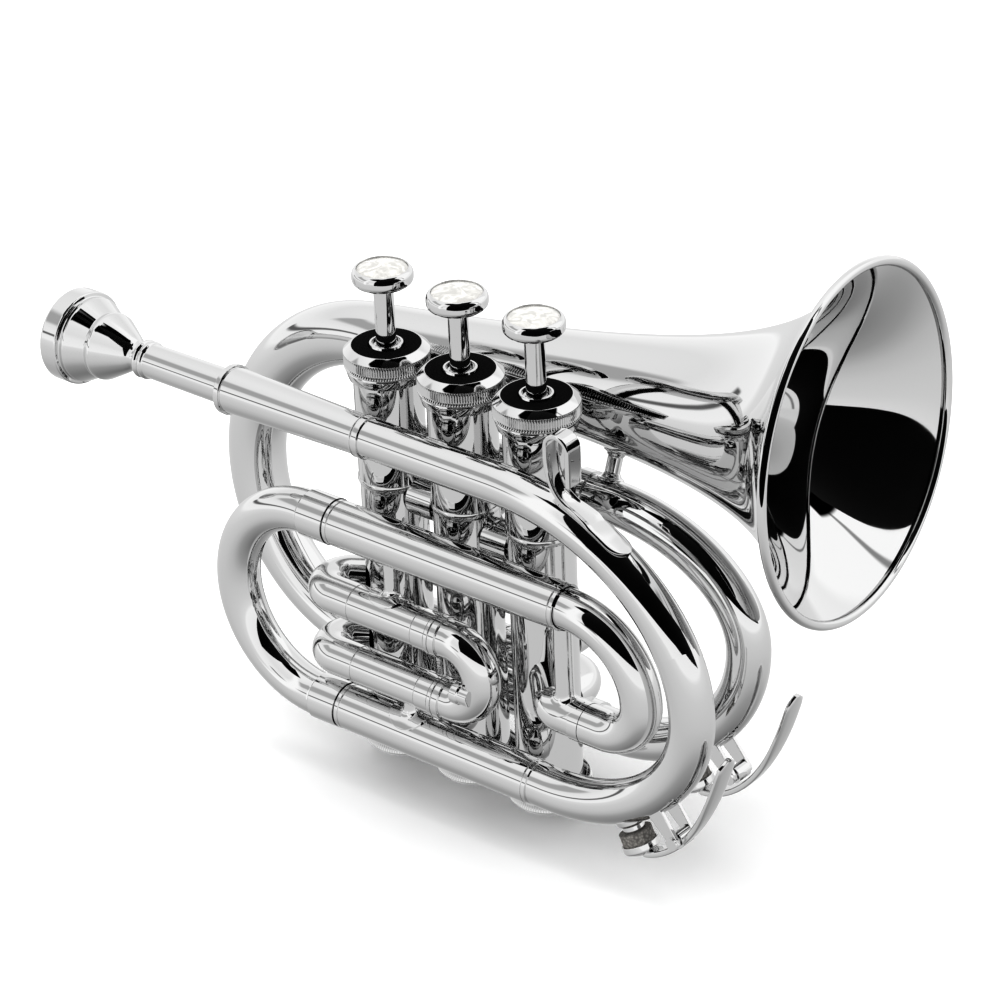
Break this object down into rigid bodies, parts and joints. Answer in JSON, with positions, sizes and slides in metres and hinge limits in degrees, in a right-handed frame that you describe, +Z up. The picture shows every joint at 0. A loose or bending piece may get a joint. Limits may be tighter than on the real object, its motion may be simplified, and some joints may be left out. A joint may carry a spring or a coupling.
{
  "type": "pocket trumpet",
  "caption": "Compact coiled valve trumpet with flared bell, mouthpiece, sprung finger valves, pull-out slides, water keys and a finger hook.",
  "frame": {"origin": "on the middle valve's axis, halfway up the valve casings, where the left hand holds the valve block", "axes": "+X towards the bell, -X towards the mouthpiece, +Y to the player's left, +Z up towards the finger buttons"},
  "size_m": [0.2292, 0.1121, 0.1602],
  "materials": {
    "silver_plate": "bright silver plate over brass, mirror polished",
    "piston_steel": "honed nickel alloy, satin",
    "pearl": "polished white mother-of-pearl",
    "cork": "matt dark cork"
  },
  "bodies": {
    "horn": {"mouthpiece_receiver": "silver_plate", "leadpipe_bow": "silver_plate", "upper_outer_tube": "silver_plate", "lower_outer_tube": "silver_plate", "entry_bow": "silver_plate", "entry_elbow": "silver_plate", "valve_casing_1": "silver_plate", "valve_casing_2": "silver_plate", "valve_casing_3": "silver_plate", "knuckle_1_2": "silver_plate", "knuckle_2_3": "silver_plate", "top_cap_1": "silver_plate", "top_cap_2": "silver_plate", "top_cap_3": "silver_plate", "bottom_cap_1": "silver_plate", "bottom_cap_2": "silver_plate", "bottom_cap_3": "silver_plate", "valve_spring_1": "piston_steel", "valve_spring_2": "piston_steel", "valve_spring_3": "piston_steel", "first_slide_upper_sleeve": "silver_plate", "first_slide_lower_sleeve": "silver_plate", "second_slide_upper_sleeve": "silver_plate", "second_slide_lower_sleeve": "silver_plate", "third_slide_upper_sleeve": "silver_plate", "third_slide_lower_sleeve": "silver_plate", "bell_branch_leg": "silver_plate", "far_bow": "silver_plate", "bell_bow": "silver_plate", "bell_stem": "silver_plate", "bell": "silver_plate", "first_slide_upper_brace": "silver_plate", "first_slide_lower_brace": "silver_plate", "entry_brace": "silver_plate", "bell_front_brace": "silver_plate", "bell_rear_brace": "silver_plate", "finger_hook": "silver_plate"},
    "mouthpiece_body": {"mouthpiece": "silver_plate"},
    "valve_1_body": {"piston_1": "piston_steel", "finger_button_1": "silver_plate", "button_pearl_1": "pearl"},
    "valve_2_body": {"piston_2": "piston_steel", "finger_button_2": "silver_plate", "button_pearl_2": "pearl"},
    "valve_3_body": {"piston_3": "piston_steel", "finger_button_3": "silver_plate", "button_pearl_3": "pearl"},
    "tuning_slide_body": {"tuning_slide_crook": "silver_plate", "tuning_slide_upper_leg": "silver_plate", "tuning_slide_lower_leg": "silver_plate"},
    "first_slide_body": {"first_slide_crook": "silver_plate"},
    "second_slide_body": {"second_slide_crook": "silver_plate"},
    "third_slide_body": {"third_slide_crook": "silver_plate", "third_slide_finger_ring": "silver_plate"},
    "near_water_key_body": {"near_water_key": "silver_plate", "near_water_key_cork": "cork"},
    "far_water_key_body": {"far_water_key": "silver_plate", "far_water_key_cork": "cork"}
  },
  "joints": [
    {"name": "mouthpiece_pull", "type": "slide", "parent": "horn", "child": "mouthpiece_body", "axis": [-1, 0, 0], "range_m": [0, 0.02]},
    {"name": "valve_1_press", "type": "slide", "parent": "horn", "child": "valve_1_body", "axis": [0, 0, -1], "range_m": [0, 0.0155], "stiffness_N_per_m": 80, "springref_m": -0.02, "deforming": ["valve_spring_1"]},
    {"name": "valve_2_press", "type": "slide", "parent": "horn", "child": "valve_2_body", "axis": [0, 0, -1], "range_m": [0, 0.0155], "stiffness_N_per_m": 80, "springref_m": -0.02, "deforming": ["valve_spring_2"]},
    {"name": "valve_3_press", "type": "slide", "parent": "horn", "child": "valve_3_body", "axis": [0, 0, -1], "range_m": [0, 0.0155], "stiffness_N_per_m": 80, "springref_m": -0.02, "deforming": ["valve_spring_3"]},
    {"name": "tuning_slide_pull", "type": "slide", "parent": "horn", "child": "tuning_slide_body", "axis": [-1, 0, 0], "range_m": [0, 0.03]},
    {"name": "first_slide_pull", "type": "slide", "parent": "horn", "child": "first_slide_body", "axis": [1, 0, 0], "range_m": [0, 0.009]},
    {"name": "second_slide_pull", "type": "slide", "parent": "horn", "child": "second_slide_body", "axis": [0, 1, 0], "range_m": [0, 0.007]},
    {"name": "third_slide_pull", "type": "slide", "parent": "horn", "child": "third_slide_body", "axis": [-1, 0, 0], "range_m": [0, 0.012]},
    {"name": "near_water_key_open", "type": "hinge", "parent": "horn", "child": "near_water_key_body", "pos_m": [0.0826, -0.018, -0.04128], "axis": [0, -1, 0], "range_deg": [0, 8], "stiffness_Nm_per_rad": 0.3, "springref_deg": -11.46},
    {"name": "far_water_key_open", "type": "hinge", "parent": "horn", "child": "far_water_key_body", "pos_m": [0.07407, 0.0177, -0.04333], "axis": [0, -1, 0], "range_deg": [0, 8], "stiffness_Nm_per_rad": 0.3, "springref_deg": -11.46}
  ]
}
